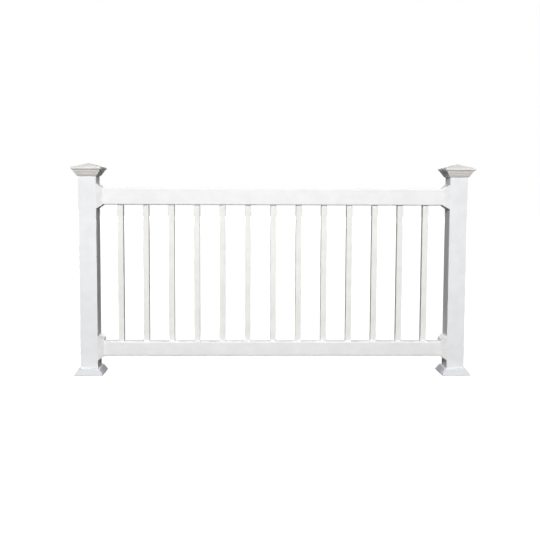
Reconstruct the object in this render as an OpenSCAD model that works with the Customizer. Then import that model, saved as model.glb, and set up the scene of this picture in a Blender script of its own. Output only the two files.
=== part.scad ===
// One bay of vinyl railing between two capped posts.
// X runs along the rails, the front faces -Y, and Z = 0 is the floor the left post stands on.
// The origin is the middle of the left post, under its base plate.

/* [Bay] */
// Distance between the centres of the two posts
post_pitch = 1875; // [1500:5:2400]
// Height of the top face of the top rail
top_rail_z = 955; // [850:5:1150]
// Height of the underside of the bottom rail
bottom_rail_z = 92.5; // [75:0.5:130]

/* [Posts] */
// Width of the square post sleeve
post_w = 88.9; // [80:0.1:110]
// Thickness of the sleeve's wall
post_wall = 3.8; // [3:0.1:5]
// Radius of the sleeve's outer corners
post_corner_r = 3.2; // [1.5:0.1:5]
// How far the sleeve rises above the top rail
post_rise = 92; // [75:1:130]

/* [Rails] */
// Depth of both rails, front to back
rail_d = 50.8; // [46:0.1:60]
// Height of the top rail's section
top_rail_h = 87; // [78:0.5:100]
// Height of the bottom rail's section
bottom_rail_h = 74; // [55:0.5:78]
// Thickness of the rails' walls and webs
rail_wall = 2.5; // [2:0.1:3.5]
// Radius of the rails' long outer edges
rail_corner_r = 6.5; // [4:0.1:8]
// Gap between a rail's end and the bracket's back plate
rail_end_gap = 0.3; // [0.2:0.1:1]

/* [Balusters] */
// Width of a square baluster
baluster_w = 28.6; // [25:0.1:38]
// Thickness of a baluster's wall
baluster_wall = 1.9; // [1.5:0.1:3]
// Radius of a baluster's outer corners
baluster_corner_r = 2.2; // [1:0.1:4]
// How far the web that stops a baluster lies inside its rail
baluster_seat = 25; // [18:1:32]
// Room left above a baluster so that it can grow in the heat
baluster_head_gap = 3; // [1:0.5:6]

/* [Brackets] */
// Length of a bracket along the rail
bracket_l = 28; // [24:1:36]
// Height of a bracket where it meets the post, the same for both rails
bracket_h = 122; // [116:1:140]
// Thickness of a bracket's shell
bracket_wall = 2.3; // [1.8:0.1:3]
// Thickness of the plate that lies against the post
bracket_plate_t = 3; // [2.5:0.1:4]

/* [Caps] */
// How far a cap reaches past the face of the post
cap_overhang = 30.5; // [28:0.5:40]
// Rise of the pyramid
cap_rise = 22.5; // [18:0.5:40]
// Height of the upright band round the eave
cap_eave_t = 8.5; // [6:0.5:12]
// Radius of the lower moulding under the eave
low_moulding_r = 42; // [36:1:46]
// Radius of the upper moulding under the eave
high_moulding_r = 32; // [26:1:36]
// Thickness of a cap's shell
cap_wall = 2.5; // [2:0.1:3.2]

/* [Skirts] */
// Height of a skirt up the post
skirt_h = 32; // [30:0.5:50]
// How far a skirt's foot reaches past the base plate
skirt_reach = 9; // [8.5:0.5:16]
// How far a skirt's top edge stands out from the post
skirt_lip = 12; // [10:0.5:14]
// Radius of a skirt's sloping corners
skirt_corner_r = 8; // [5:0.5:9.5]
// Thickness of a skirt's shell
skirt_wall = 2.8; // [2:0.1:3.2]

/* [Base plates] */
// Width of the square steel plate
plate_w = 127; // [124:0.5:140]
// Thickness of the plate
plate_t = 9.5; // [8:0.5:12]
// Distance from the plate's edge to the centre of a bolt hole
bolt_inset = 12.7; // [10:0.1:13]
// Diameter of a bolt hole
bolt_hole_d = 11; // [9:0.5:12]
// Height of the steel socket above the plate
socket_h = 220; // [150:10:300]
// Thickness of the socket's wall
socket_wall = 4; // [3:0.5:6]

/* [Hidden] */
// Side clearance of every piece that slips over or into another
fit = 0.3;
// Steps in an arc, whose outlines are polygons
arc_steps = 6;
baluster_count = 13;

post_top_z = top_rail_z + post_rise;
post_bore = post_w - 2 * post_wall;
clear_w = post_pitch - post_w;
rail_l = clear_w - 2 * (bracket_plate_t + rail_end_gap);
top_rail_foot_z = top_rail_z - top_rail_h;
bottom_rail_top_z = bottom_rail_z + bottom_rail_h;

// The balusters stand with equal gaps between the post faces
baluster_gap = (clear_w - baluster_count * baluster_w) / (baluster_count + 1);
baluster_step = baluster_w + baluster_gap;
baluster_foot_z = bottom_rail_top_z - baluster_seat;
baluster_head_z = top_rail_foot_z + baluster_seat - baluster_head_gap;

// A bracket's plate is this much narrower than the post on each side
bracket_set_in = 0.5;

// Sizes in the cap, whose heights start at its lower edge
cap_eave_step = 0.5;
cap_collar_t = 1.45;
cap_collar_r = post_w / 2 + fit + cap_collar_t;
cap_eave_r = post_w / 2 + cap_overhang;
cap_rib_t = 2.5;

// Each moulding turns from its first to its last angle below level, as an arc of its own radius
low_turn = [52, 25];
high_turn = [42, 18];
low_fillet = 2.5;
moulding_set = 1.5;
// The hollow cove turns between these angles above level, about a centre outside the cap
cove_turn = [36, 64];
low_moulding_h = low_moulding_r * (sin(low_turn[0]) - sin(low_turn[1]));
high_moulding_h = high_moulding_r * (sin(high_turn[0]) - sin(high_turn[1]));
low_moulding_x = cap_collar_r - low_moulding_r * cos(low_turn[0]);
high_moulding_x = low_moulding_x + low_moulding_r * cos(low_turn[1]) + moulding_set
    - high_moulding_r * cos(high_turn[0]);
high_moulding_end_x = high_moulding_x + high_moulding_r * cos(high_turn[1]);
cove_foot_z = low_moulding_h + low_fillet + high_moulding_h;
cove_r = (cap_eave_r - high_moulding_end_x) / (cos(cove_turn[0]) - cos(cove_turn[1]));
cove_x = high_moulding_end_x + cove_r * cos(cove_turn[0]);
cove_z = cove_foot_z - cove_r * sin(cove_turn[0]);
cap_eave_z = cove_z + cove_r * sin(cove_turn[1]);
cap_cover = cap_eave_z - cap_eave_step;

skirt_foot_r = plate_w / 2 + skirt_reach;
skirt_lip_r = post_w / 2 + skirt_lip;
skirt_edge_h = 4;
skirt_lip_round = 4;
skirt_lip_turn = 30;
// Turn between the flats that make up a skirt's corner
skirt_corner_step = 30;

vinyl = [0.95, 0.95, 0.95];
steel = [0.62, 0.64, 0.66];

function baluster_name(i) = str("baluster_", i < 10 ? "0" : "", i);

// Points of an arc about (x, y) that starts at angle a and sweeps on
function arc(x, y, r, a, sweep) =
    [for (i = [0:arc_steps]) let (turn = a + sweep * i / arc_steps) [x + r * cos(turn), y + r * sin(turn)]];

// Outline of a rectangle with rounded corners, centred on the origin
function rounded(w, h, r) = concat(
    arc(w / 2 - r, h / 2 - r, r, 0, 90),
    arc(r - w / 2, h / 2 - r, r, 90, 90),
    arc(r - w / 2, r - h / 2, r, 180, 90),
    arc(w / 2 - r, r - h / 2, r, 270, 90));

// The left half of an outline, added to its right half
function both_sides(half) = concat(half, [for (i = [len(half) - 1:-1:0]) [-half[i][0], half[i][1]]]);

// A square-plan moulding with mitred corners: one outline seen from the front and from the side
module mitred(half) {
    w = 2 * max([for (p = half) p[0]]);
    intersection() {
        rotate([90, 0, 0]) linear_extrude(w, center = true) polygon(both_sides(half));
        rotate([90, 0, 90]) linear_extrude(w, center = true) polygon(both_sides(half));
    }
}

// Places a left-hand piece at the right post
module at_right_post() {
    translate([post_pitch, 0, 0]) mirror([1, 0, 0]) children();
}

// Steel plate with four bolt holes and the welded socket that the sleeve slips over
module base_plate() {
    bolt_at = plate_w / 2 - bolt_inset;
    socket_w = post_bore - 2 * fit;
    socket_bore = socket_w - 2 * socket_wall;
    color(steel) difference() {
        union() {
            translate([-plate_w / 2, -plate_w / 2, 0]) cube([plate_w, plate_w, plate_t]);
            translate([-socket_w / 2, -socket_w / 2, 0]) cube([socket_w, socket_w, plate_t + socket_h]);
        }
        translate([0, 0, plate_t]) linear_extrude(socket_h + 1) square(socket_bore, center = true);
        for (x = [-bolt_at, bolt_at], y = [-bolt_at, bolt_at])
            translate([x, y, -1]) cylinder(d = bolt_hole_d, h = plate_t + 2, $fn = 48);
    }
}

// Hollow sleeve, standing on the base plate
module post() {
    color(vinyl) translate([0, 0, plate_t]) linear_extrude(post_top_z - plate_t) difference() {
        polygon(rounded(post_w, post_w, post_corner_r));
        square(post_bore, center = true);
    }
}

// Half outline of a skirt, drawn in by t for its inside
function skirt_half(t) = concat(
    [[0, t > 0 ? -1 : 0], [skirt_foot_r - t, t > 0 ? -1 : 0], [skirt_foot_r - t, skirt_edge_h]],
    arc(skirt_lip_r - skirt_lip_round, skirt_h - skirt_lip_round, skirt_lip_round - t,
        skirt_lip_turn, 90 - skirt_lip_turn),
    [[0, skirt_h - t]]);

// A mitred moulding whose corners are rounded to radius r by flats at several turns
module mitred_round(half, r) {
    intersection_for (a = [0:skirt_corner_step:90 - skirt_corner_step])
        rotate(a) mitred([for (p = half) [p[0] == 0 ? 0 : (p[0] - r) * (cos(a) + sin(a)) + r, p[1]]]);
}

// Sloping trim that hides the base plate
module skirt() {
    hole = post_w + 2 * fit;
    color(vinyl) difference() {
        mitred_round(skirt_half(0), skirt_corner_r);
        mitred_round(skirt_half(skirt_wall), skirt_corner_r - skirt_wall);
        translate([-hole / 2, -hole / 2, -1]) cube([hole, hole, skirt_h + 2]);
    }
}

// Half outline of a cap, drawn in by t for its inside: two mouldings, a cove, an upright band and a pyramid
function cap_half(t) =
    let (
        low = arc(low_moulding_x, low_moulding_r * sin(low_turn[0]), low_moulding_r - t,
            -low_turn[0], low_turn[0] - low_turn[1]),
        high = arc(high_moulding_x, low_moulding_h + low_fillet + high_moulding_r * sin(high_turn[0]),
            high_moulding_r - t, -high_turn[0], high_turn[0] - high_turn[1]),
        cove_end = acos((cove_x - cap_eave_r + t) / (cove_r + t)),
        slope = cap_rise / cap_eave_r,
        apex_z = cap_eave_z + cap_eave_t + cap_rise - t * sqrt(1 + slope * slope))
    concat(
        [[0, low[0][1]]],
        low,
        [[low[arc_steps][0], high[0][1]]],
        high,
        arc(cove_x, cove_z, cove_r + t, 180 - cove_turn[0], cove_turn[0] - cove_end),
        [[cap_eave_r - t, apex_z - (cap_eave_r - t) * slope], [0, apex_z]]);

// A rib across the cap, over the post's top edge
module cap_rib() {
    translate([-post_w, -cap_rib_t / 2, cap_cover]) cube([2 * post_w, cap_rib_t, cap_rise + 2 * cap_eave_t]);
}

// Hollow cap, whose crossed ribs rest on the sleeve's top edge
module cap() {
    hole = post_w + 2 * fit;
    color(vinyl) translate([0, 0, post_top_z - cap_cover]) {
        difference() {
            mitred(cap_half(0));
            mitred(cap_half(cap_wall));
            translate([-hole / 2, -hole / 2, -1]) cube([hole, hole, 2 * cap_wall + 1]);
        }
        intersection() {
            mitred(cap_half(cap_wall / 2));
            union() {
                cap_rib();
                rotate(90) cap_rib();
            }
        }
    }
}

// Rounded rail section with one web across it, z from the section's middle
module rail_section(h, web_z) {
    difference() {
        polygon(rounded(rail_d, h, rail_corner_r));
        difference() {
            polygon(rounded(rail_d - 2 * rail_wall, h - 2 * rail_wall, rail_corner_r - rail_wall));
            translate([-rail_d / 2, web_z - rail_wall]) square([rail_d, rail_wall]);
        }
    }
}

module rail(z, h, web_z) {
    translate([post_pitch / 2 - rail_l / 2, 0, z + h / 2]) rotate([90, 0, 90])
        linear_extrude(rail_l) rail_section(h, web_z);
}

// X of the middle of a baluster
function baluster_x(i) = post_w / 2 + i * baluster_step - baluster_w / 2;

// The holes routed through one rail wall, for every baluster
module baluster_holes(z) {
    hole = baluster_w + 2 * fit;
    for (i = [1:baluster_count])
        translate([baluster_x(i), 0, z]) linear_extrude(rail_wall + 2)
            polygon(rounded(hole, hole, baluster_corner_r + fit));
}

// The web's lower face stops the balusters' heads
module top_rail() {
    web_z = baluster_seat - top_rail_h / 2 + rail_wall;
    color(vinyl) difference() {
        rail(top_rail_foot_z, top_rail_h, web_z);
        baluster_holes(top_rail_foot_z - 1);
    }
}

// The balusters stand on the web's upper face
module bottom_rail() {
    web_z = bottom_rail_h / 2 - baluster_seat;
    color(vinyl) difference() {
        rail(bottom_rail_z, bottom_rail_h, web_z);
        baluster_holes(bottom_rail_top_z - rail_wall - 1);
    }
}

module baluster(i) {
    color(vinyl) translate([baluster_x(i), 0, baluster_foot_z])
        linear_extrude(baluster_head_z - baluster_foot_z) difference() {
            polygon(rounded(baluster_w, baluster_w, baluster_corner_r));
            square(baluster_w - 2 * baluster_wall, center = true);
        }
}

// Outline of a bracket from its plate to its mouth, drawn in by t for its inside
function bracket_outline(plate, mouth, t) =
    let (
        x0 = t > 0 ? bracket_plate_t : 0,
        x1 = bracket_l - bracket_wall - t,
        x2 = bracket_l - t,
        wide = plate / 2 - t,
        narrow = mouth / 2 + fit + bracket_wall - t)
    [[x0, -wide], [bracket_plate_t, -wide], [x1, -narrow], [x2, -narrow],
     [x2, narrow], [x1, narrow], [bracket_plate_t, wide], [x0, wide]];

module bracket_solid(t) {
    intersection() {
        rotate([90, 0, 0]) linear_extrude(2 * post_w, center = true)
            polygon(bracket_outline(bracket_h, top_rail_h, t));
        linear_extrude(2 * bracket_h, center = true)
            polygon(bracket_outline(post_w - 2 * bracket_set_in, rail_d, t));
    }
}

// Flared shell, sized for the top rail, in which a rail of height h lies at the bottom of the mouth
module bracket(z, h) {
    mouth_w = rail_d + 2 * fit;
    mouth_h = h + 2 * fit;
    color(vinyl) translate([post_w / 2, 0, z + top_rail_h / 2]) difference() {
        bracket_solid(0);
        bracket_solid(bracket_wall);
        translate([bracket_plate_t, 0, (h - top_rail_h) / 2]) rotate([90, 0, 90])
            linear_extrude(bracket_l) polygon(rounded(mouth_w, mouth_h, rail_corner_r + fit));
    }
}

base_plate();  // left_base_plate
at_right_post() base_plate();  // right_base_plate
post();  // left_post
at_right_post() post();  // right_post
skirt();  // left_skirt
at_right_post() skirt();  // right_skirt
cap();  // left_cap
at_right_post() cap();  // right_cap
top_rail();
bottom_rail();
bracket(top_rail_foot_z, top_rail_h);  // top_left_bracket
at_right_post() bracket(top_rail_foot_z, top_rail_h);  // top_right_bracket
bracket(bottom_rail_z, bottom_rail_h);  // bottom_left_bracket
at_right_post() bracket(bottom_rail_z, bottom_rail_h);  // bottom_right_bracket
for (i = [1:baluster_count])
    baluster(i);
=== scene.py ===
import math

import bmesh
import bpy
from mathutils import Euler, Matrix, Vector


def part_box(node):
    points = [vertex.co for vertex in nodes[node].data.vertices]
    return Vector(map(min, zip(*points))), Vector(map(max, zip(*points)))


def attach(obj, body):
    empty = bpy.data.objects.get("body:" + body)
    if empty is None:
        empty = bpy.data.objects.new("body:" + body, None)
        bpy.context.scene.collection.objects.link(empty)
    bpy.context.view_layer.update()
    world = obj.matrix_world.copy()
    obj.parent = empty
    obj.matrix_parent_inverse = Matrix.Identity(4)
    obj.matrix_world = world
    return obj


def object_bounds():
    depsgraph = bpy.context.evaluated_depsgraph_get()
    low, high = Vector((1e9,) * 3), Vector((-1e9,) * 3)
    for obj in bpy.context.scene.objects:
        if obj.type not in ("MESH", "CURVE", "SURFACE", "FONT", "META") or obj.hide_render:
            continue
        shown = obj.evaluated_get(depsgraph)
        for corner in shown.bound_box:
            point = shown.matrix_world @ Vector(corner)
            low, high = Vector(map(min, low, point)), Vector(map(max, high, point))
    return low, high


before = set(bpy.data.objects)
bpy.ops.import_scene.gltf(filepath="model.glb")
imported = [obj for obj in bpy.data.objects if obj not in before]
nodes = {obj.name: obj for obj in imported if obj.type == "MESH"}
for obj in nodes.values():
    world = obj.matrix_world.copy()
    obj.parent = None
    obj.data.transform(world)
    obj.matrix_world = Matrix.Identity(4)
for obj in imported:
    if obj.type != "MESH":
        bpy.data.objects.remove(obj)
cad_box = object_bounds()
scene = bpy.context.scene
scene.view_settings.view_transform = "Standard"
MM = 0.001

# ---------------------------------------------------------------------------
# Camera. It stands a little over three metres in front of the bay, left of its
# middle and level with the top rail, and looks slightly down.
# ---------------------------------------------------------------------------
CAMERA_PLACE = Vector((0.816, -3.445, 0.948))
CAMERA_YAW, CAMERA_PITCH, CAMERA_ROLL = (math.radians(a) for a in (-0.80, -3.645, 0.19))
SENSOR_WIDTH, FOCAL_LENGTH = 36.0, 44.92
SHIFT_X, SHIFT_Y = 0.0206, -0.070
CLIP_START, CLIP_END = 0.05, 60.0

lens = bpy.data.cameras.new("camera")
lens.sensor_width, lens.lens = SENSOR_WIDTH, FOCAL_LENGTH
lens.shift_x, lens.shift_y = SHIFT_X, SHIFT_Y
lens.clip_start, lens.clip_end = CLIP_START, CLIP_END
camera = bpy.data.objects.new("camera", lens)
scene.collection.objects.link(camera)
upright = Euler((math.radians(90) + CAMERA_PITCH, 0.0, CAMERA_YAW), "XYZ").to_matrix()
tilted = upright @ Matrix.Rotation(CAMERA_ROLL, 3, "Z")
camera.matrix_world = Matrix.Translation(CAMERA_PLACE) @ tilted.to_4x4()
scene.camera = camera

# ---------------------------------------------------------------------------
# Base plates. Square steel plates, hot-dip galvanised after the socket was
# welded on, so the zinc shows dull spangles some millimetres across.
# ---------------------------------------------------------------------------
SIDES = ("left", "right")
WELD_REACH, FLAT_TURN, EDGE_STEPS = 0.01 * MM, 0.5, 2


def linear(colour):
    """Turns an sRGB hex colour into the linear colour that shaders take."""
    channels = [int(colour[i:i + 2], 16) / 255 for i in (1, 3, 5)]
    return [c / 12.92 if c <= 0.04045 else ((c + 0.055) / 1.055) ** 2.4 for c in channels] + [1.0]


def add(tree, kind, settings=None, **inputs):
    """Adds a shader node, sets its properties and fills or links its inputs.

    An input goes by its label, with _ for a space, or by its number, such as i0."""
    made = tree.nodes.new(kind)
    for key, value in (settings or {}).items():
        setattr(made, key, value)
    for key, value in inputs.items():
        numbered = key[0] == "i" and key[1:].isdigit()
        socket = made.inputs[int(key[1:]) if numbered else key.replace("_", " ")]
        if isinstance(value, bpy.types.NodeSocket):
            tree.links.new(value, socket)
        else:
            socket.default_value = value
    return made


def new_material(name):
    """An empty material, the tree to build it in and the place on the piece."""
    material = bpy.data.materials.new(name)
    material.use_nodes = True
    tree = material.node_tree
    tree.nodes.clear()
    return material, tree, add(tree, "ShaderNodeTexCoord").outputs["Object"]


def close_tree(tree, shader, kind="ShaderNodeOutputMaterial"):
    """Links a shader to the tree's output."""
    tree.links.new(shader.outputs[0], tree.nodes.new(kind).inputs[0])


def noise(tree, place, size, detail):
    """Noise whose features have a size."""
    made = add(tree, "ShaderNodeTexNoise", Vector=place, Scale=1 / size, Detail=detail)
    return made.outputs[0]


def stretch(tree, value, **ends):
    """A value moved from one range to another."""
    return add(tree, "ShaderNodeMapRange", Value=value, **ends).outputs[0]


def blend(tree, amount, first, second):
    """A mix of two hex colours."""
    mix = add(tree, "ShaderNodeMix", {"data_type": "RGBA"},
              i0=amount, i6=linear(first), i7=linear(second))
    return mix.outputs[2]


def relief(tree, height, strength, depth, **under):
    """The normal of a bump, laid over another normal where one is given."""
    made = add(tree, "ShaderNodeBump", Height=height, Strength=strength, Distance=depth, **under)
    return made.outputs[0]


def galvanised_steel():
    """Zinc on steel: metallic, dull, with spangles whose brightness differs."""
    spangle, grain_size, grain_depth = 7 * MM, 0.8 * MM, 0.03 * MM
    material, tree, place = new_material("galvanised_steel")
    cells = add(tree, "ShaderNodeTexVoronoi", Vector=place, Scale=1 / spangle)
    tint = blend(tree, cells.outputs["Color"], "#8F9498", "#B4B8BB")
    dull = stretch(tree, cells.outputs["Distance"], To_Min=0.38, To_Max=0.55)
    grain = relief(tree, noise(tree, place, grain_size, 3.0), 0.5, grain_depth)
    close_tree(tree, add(tree, "ShaderNodeBsdfPrincipled", Base_Color=tint, Metallic=1.0,
                         Roughness=dull, Normal=grain))
    return material


def dress(names, material):
    """Gives CAD pieces their finish."""
    for name in names:
        nodes[name].data.materials.clear()
        nodes[name].data.materials.append(material)


def soften(names, radius, turn):
    """Rounds the edges that turn by more than some degrees, as a die, mould or saw leaves them."""
    for name in names:
        piece = nodes[name]
        piece.data.polygons.foreach_set("use_smooth", [True] * len(piece.data.polygons))
        joined = piece.modifiers.new("joined", "WELD")
        joined.merge_threshold = WELD_REACH
        flats = piece.modifiers.new("flats", "DECIMATE")
        flats.decimate_type = "DISSOLVE"
        flats.angle_limit = math.radians(FLAT_TURN)
        edges = piece.modifiers.new("edges", "BEVEL")
        edges.width = radius
        edges.segments = EDGE_STEPS
        edges.profile = 0.5
        edges.limit_method = "ANGLE"
        edges.angle_limit = math.radians(turn)
        edges.use_clamp_overlap = False
        shading = piece.modifiers.new("shading", "WEIGHTED_NORMAL")
        shading.mode = "FACE_AREA"


base_plates = [f"{side}_base_plate" for side in SIDES]
soften(base_plates, 0.5 * MM, 38)
dress(base_plates, galvanised_steel())

# ---------------------------------------------------------------------------
# Post sleeves. Rigid white vinyl, extruded as a square tube. The die leaves faint
# lines along it, and the cooled walls are never quite flat.
# ---------------------------------------------------------------------------
VINYL_IOR, VINYL_SHEEN = 1.53, 0.01


def close_vinyl(tree, tint, gloss, normal):
    """Ends the tree of a vinyl with its shader."""
    close_tree(tree, add(tree, "ShaderNodeBsdfPrincipled", Base_Color=tint, IOR=VINYL_IOR,
                         Specular_IOR_Level=VINYL_SHEEN, Roughness=gloss, Normal=normal))


def extruded_vinyl(name, along, light, dark):
    """Rigid vinyl pulled through a die along one axis: satin, white, faintly lined."""
    # Real die lines stand half a millimetre apart. They are drawn coarser, so that they show.
    die_line, line_run, wave, mottle = 1.6 * MM, 900 * MM, 110 * MM, 60 * MM
    line_depth, wave_depth, line_share = 0.03 * MM, 0.35 * MM, 0.3
    material, tree, place = new_material(name)
    across = [1 / die_line] * 3
    across["XYZ".index(along)] = 1 / line_run
    lined = add(tree, "ShaderNodeMapping", Vector=place, Scale=across)
    lines = add(tree, "ShaderNodeTexNoise", Vector=lined.outputs[0], Scale=1.0, Detail=2.0,
                Roughness=0.6).outputs[0]
    patches = noise(tree, place, mottle, 3.0)
    streaked = add(tree, "ShaderNodeMix", i0=line_share, i2=patches, i3=lines)
    spread = stretch(tree, streaked.outputs[0], From_Min=0.40, From_Max=0.60)
    gloss = stretch(tree, lines, To_Min=0.66, To_Max=0.78)
    wall = relief(tree, noise(tree, place, wave, 1.0), 1.0, wave_depth)
    fine = relief(tree, lines, 0.7, line_depth, Normal=wall)
    close_vinyl(tree, blend(tree, spread, light, dark), gloss, fine)
    return material


posts = [f"{side}_post" for side in SIDES]
soften(posts, 0.5 * MM, 38)
dress(posts, extruded_vinyl("post_sleeve_vinyl", "Z", "#F5F6F7", "#F0F1F3"))

# ---------------------------------------------------------------------------
# Skirts and brackets. The same vinyl, injection-moulded: a little glossier, with
# a fine even grain from the mould and no lines.
# ---------------------------------------------------------------------------
def moulded_vinyl(name, light, dark):
    """Rigid vinyl from a mould: satin white with a fine leathery grain."""
    # The real grain is about half as coarse. It is drawn larger, so that it shows.
    grain_size, sink_size = 0.9 * MM, 30 * MM
    grain_depth, sink_depth = 0.03 * MM, 0.2 * MM
    material, tree, place = new_material(name)
    grain = noise(tree, place, grain_size, 3.0)
    sinks = noise(tree, place, sink_size, 1.0)
    spread = stretch(tree, sinks, From_Min=0.38, From_Max=0.62)
    gloss = stretch(tree, grain, To_Min=0.64, To_Max=0.76)
    wall = relief(tree, sinks, 1.0, sink_depth)
    fine = relief(tree, grain, 0.6, grain_depth, Normal=wall)
    close_vinyl(tree, blend(tree, spread, light, dark), gloss, fine)
    return material


brackets = [f"{level}_{side}_bracket" for level in ("top", "bottom") for side in SIDES]
skirts = [f"{side}_skirt" for side in SIDES]
soften(brackets, 0.6 * MM, 20)
soften(skirts, 0.6 * MM, 38)
dress(brackets, moulded_vinyl("bracket_vinyl", "#F4F4F3", "#EEEEED"))
# The skirts get the brackets' white made much darker: painted shade for the dimmer light near the
# floor.
dress(skirts, moulded_vinyl("skirt_vinyl_painted_shade", "#DBDDE0", "#D7D9DC"))

# ---------------------------------------------------------------------------
# Bracket screws. Pan heads of painted steel with a square recess, driven through
# the upper and the lower slope of each bracket into the post.
# ---------------------------------------------------------------------------
HEAD_RADIUS, HEAD_HEIGHT, HEAD_SINK = 4.0 * MM, 2.6 * MM, 0.2 * MM
CROWN, CROWN_STEPS = 1.6 * MM, 5
RECESS_WIDTH, RECESS_DEPTH = 2.9 * MM, 1.5 * MM
RECESS_SIDES, RIM_SIDES = 4, 32
RAY_START = 20 * MM
LEVEL = 0.999  # A face whose normal stands more upright than this is shaded flat


def screw_paint():
    """Baked paint on steel: white, glossier than the vinyl, with a little orange peel."""
    peel_size, peel_depth = 0.7 * MM, 0.02 * MM
    material, tree, place = new_material("painted_steel")
    peel = noise(tree, place, peel_size, 1.0)
    gloss = stretch(tree, peel, To_Min=0.30, To_Max=0.42)
    close_tree(tree, add(tree, "ShaderNodeBsdfPrincipled", IOR=1.5, Roughness=gloss,
                         Base_Color=blend(tree, peel, "#F0F0EE", "#E9E9E7"),
                         Normal=relief(tree, peel, 0.5, peel_depth)))
    return material


def extend_down(mesh, loop, depth):
    """Draws a closed loop of edges straight down and fills its end."""
    walls = bmesh.ops.extrude_edge_only(mesh, edges=loop)["geom"]
    corners = [part for part in walls if isinstance(part, bmesh.types.BMVert)]
    ends = [part for part in walls if isinstance(part, bmesh.types.BMEdge)]
    bmesh.ops.translate(mesh, verts=corners, vec=(0, 0, -depth))
    bmesh.ops.contextual_create(mesh, geom=ends)


def screw_head(name, place, facing, finish):
    """A pan head that sits at a place and faces a direction."""
    head = bmesh.new()
    bmesh.ops.create_circle(head, segments=RIM_SIDES, radius=HEAD_RADIUS)
    recess = bmesh.ops.create_circle(head, segments=RECESS_SIDES,
                                     radius=RECESS_WIDTH / math.sqrt(2))["verts"]
    bmesh.ops.rotate(head, verts=recess, cent=(0, 0, 0),
                     matrix=Matrix.Rotation(math.radians(45), 3, "Z"))
    sides = [edge for edge in head.edges if edge.verts[0] in recess]
    # The recess gets as many edges as the rim, so that the two can be bridged
    bmesh.ops.subdivide_edges(head, edges=sides, cuts=RIM_SIDES // RECESS_SIDES - 1)
    # Vertices kept from before the subdivision are stale, so distance tells the loops apart
    mouth = [edge for edge in head.edges if edge.verts[0].co.length < RECESS_WIDTH]
    outline = [edge for edge in head.edges if edge not in mouth]
    bmesh.ops.bridge_loops(head, edges=mouth + outline)
    extend_down(head, mouth, RECESS_DEPTH)
    extend_down(head, outline, HEAD_HEIGHT)
    bmesh.ops.bevel(head, geom=outline, affect="EDGES", offset=CROWN, segments=CROWN_STEPS,
                    profile=0.5, material=-1)
    bmesh.ops.recalc_face_normals(head, faces=head.faces)
    for face in head.faces:
        face.smooth = abs(face.normal.z) < LEVEL
    turn = facing.to_track_quat("Z", "Y").to_matrix().to_4x4()
    seat = Matrix.Translation(place + facing * (HEAD_HEIGHT - HEAD_SINK))
    bmesh.ops.transform(head, matrix=seat @ turn, verts=head.verts)
    mesh = bpy.data.meshes.new(name)
    head.to_mesh(mesh)
    head.free()
    mesh.materials.append(finish)
    screw = bpy.data.objects.new(name, mesh)
    scene.collection.objects.link(screw)
    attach(screw, "root")


painted = screw_paint()
for name in brackets:
    low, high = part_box(name)
    centre = (low + high) / 2
    for end, start, down in (("upper", high.z + RAY_START, -1), ("lower", low.z - RAY_START, 1)):
        ray = Vector((centre.x, 0.0, start)), Vector((0.0, 0.0, down))
        place, facing = nodes[name].ray_cast(*ray)[1:3]
        screw_head(f"{name}_{end}_screw", place, facing, painted)

# ---------------------------------------------------------------------------
# Rails and balusters. Extruded box sections and square tubes, cut to length.
# ---------------------------------------------------------------------------
rails = ["top_rail", "bottom_rail"]
balusters = sorted(name for name in nodes if name.startswith("baluster"))
soften(rails + balusters, 0.4 * MM, 38)
dress(rails, extruded_vinyl("rail_vinyl", "X", "#F6F6F6", "#F1F1F1"))
dress(balusters, extruded_vinyl("baluster_vinyl", "Z", "#F7F7F4", "#F1F0ED"))

# ---------------------------------------------------------------------------
# Caps. Moulded covers, glued over the tops of the sleeves.
# ---------------------------------------------------------------------------
caps = [f"{side}_cap" for side in SIDES]
soften(caps, 0.5 * MM, 12)
# The caps get a darker white than the other vinyl: painted shade for the shaded cornice under the
# eave.
dress(caps, moulded_vinyl("cap_vinyl_painted_shade", "#EEEBE8", "#E8E5E2"))

# ---------------------------------------------------------------------------
# Floor and light. A plain floor that shows white and keeps the bay's soft shadow, a
# soft lamp above the camera with a weaker one below it, lamps overhead, behind and
# beyond each end, and a weak even sky.
# ---------------------------------------------------------------------------
SKY, SKY_STRENGTH = "#F2F5FA", 0.035
FLOOR_SIZE, FLOOR_SEEN, FLOOR_LIT = 40, "#B0B0B0", "#303030"
AIM_HEIGHT = 0.6


def seen_directly(tree):
    """1 for rays from the camera, also by way of gloss or glass."""
    path = add(tree, "ShaderNodeLightPath")
    either = add(tree, "ShaderNodeMath", {"operation": "MAXIMUM"},
                 i0=path.outputs["Is Camera Ray"], i1=path.outputs["Is Glossy Ray"])
    return add(tree, "ShaderNodeMath", {"operation": "MAXIMUM"},
               i0=either.outputs[0], i1=path.outputs["Is Transmission Ray"]).outputs[0]


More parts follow.
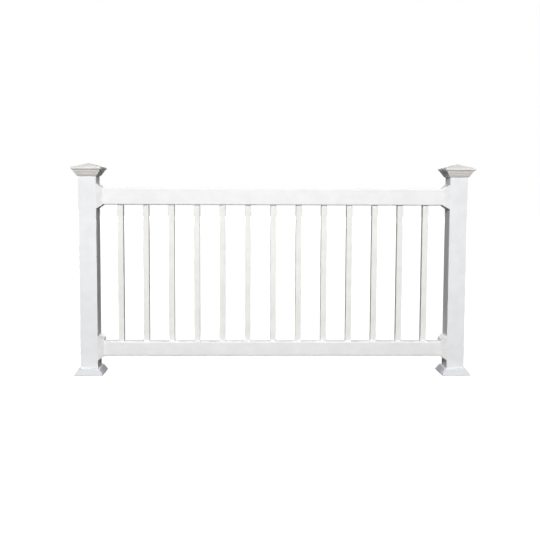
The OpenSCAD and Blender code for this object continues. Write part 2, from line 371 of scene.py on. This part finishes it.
def plain_floor():
    """White to look at, a little less so near the bay, but it lights the bay like a dark one."""
    material, tree, place = new_material("plain_floor")
    shown = add(tree, "ShaderNodeBsdfDiffuse", Color=linear(FLOOR_SEEN))
    reach = add(tree, "ShaderNodeVectorMath", {"operation": "LENGTH"}, i0=place)
    glow = stretch(tree, reach.outputs["Value"], From_Min=1.0, From_Max=2.6,
                   To_Min=0.86, To_Max=1.0)
    lift = add(tree, "ShaderNodeEmission", Strength=glow)
    bright = add(tree, "ShaderNodeAddShader", i0=shown.outputs[0], i1=lift.outputs[0])
    plain = add(tree, "ShaderNodeBsdfDiffuse", Color=linear(FLOOR_LIT))
    close_tree(tree, add(tree, "ShaderNodeMixShader", i0=seen_directly(tree),
                         i1=plain.outputs[0], i2=bright.outputs[0]))
    return material


middle = (cad_box[0] + cad_box[1]) / 2
bpy.ops.mesh.primitive_plane_add(size=FLOOR_SIZE, location=(middle.x, 0, 0))
floor = bpy.context.object
floor.name = "floor"
floor.data.materials.append(plain_floor())

world = bpy.data.worlds.new("sky")
scene.world = world
world.use_nodes = True
tree = world.node_tree
tree.nodes.clear()
sky = add(tree, "ShaderNodeBackground", Color=linear(SKY), Strength=SKY_STRENGTH)
white = add(tree, "ShaderNodeBackground", Color=linear("#FFFFFF"), Strength=1.0)
both = add(tree, "ShaderNodeMixShader", i0=seen_directly(tree),
           i1=sky.outputs[0], i2=white.outputs[0])
close_tree(tree, both, "ShaderNodeOutputWorld")


def soft_lamp(name, place, size, energy):
    """A rectangular lamp that faces the middle of the bay."""
    data = bpy.data.lights.new(name, "AREA")
    data.shape = "RECTANGLE"
    data.size, data.size_y = size
    data.energy = energy
    lamp = bpy.data.objects.new(name, data)
    lamp.location = place
    aim = Vector((middle.x, 0.0, AIM_HEIGHT)) - lamp.location
    lamp.rotation_euler = aim.to_track_quat("-Z", "Y").to_euler()
    scene.collection.objects.link(lamp)


soft_lamp("front_lamp", (0.68, -5.5, 3.4), (1.2, 1.2), 346)
soft_lamp("low_lamp", (0.80, -5.5, 0.7), (1.6, 0.8), 26)
soft_lamp("top_lamp", (0.94, -1.0, 7.5), (1.6, 0.8), 102)
soft_lamp("back_lamp", (0.85, 25.0, 3.2), (2.5, 2.5), 4100)
soft_lamp("left_lamp", (-4.0, 0.0, 0.7), (0.1, 0.1), 75)
soft_lamp("right_lamp", (5.9, 0.0, 0.7), (0.1, 0.1), 75)
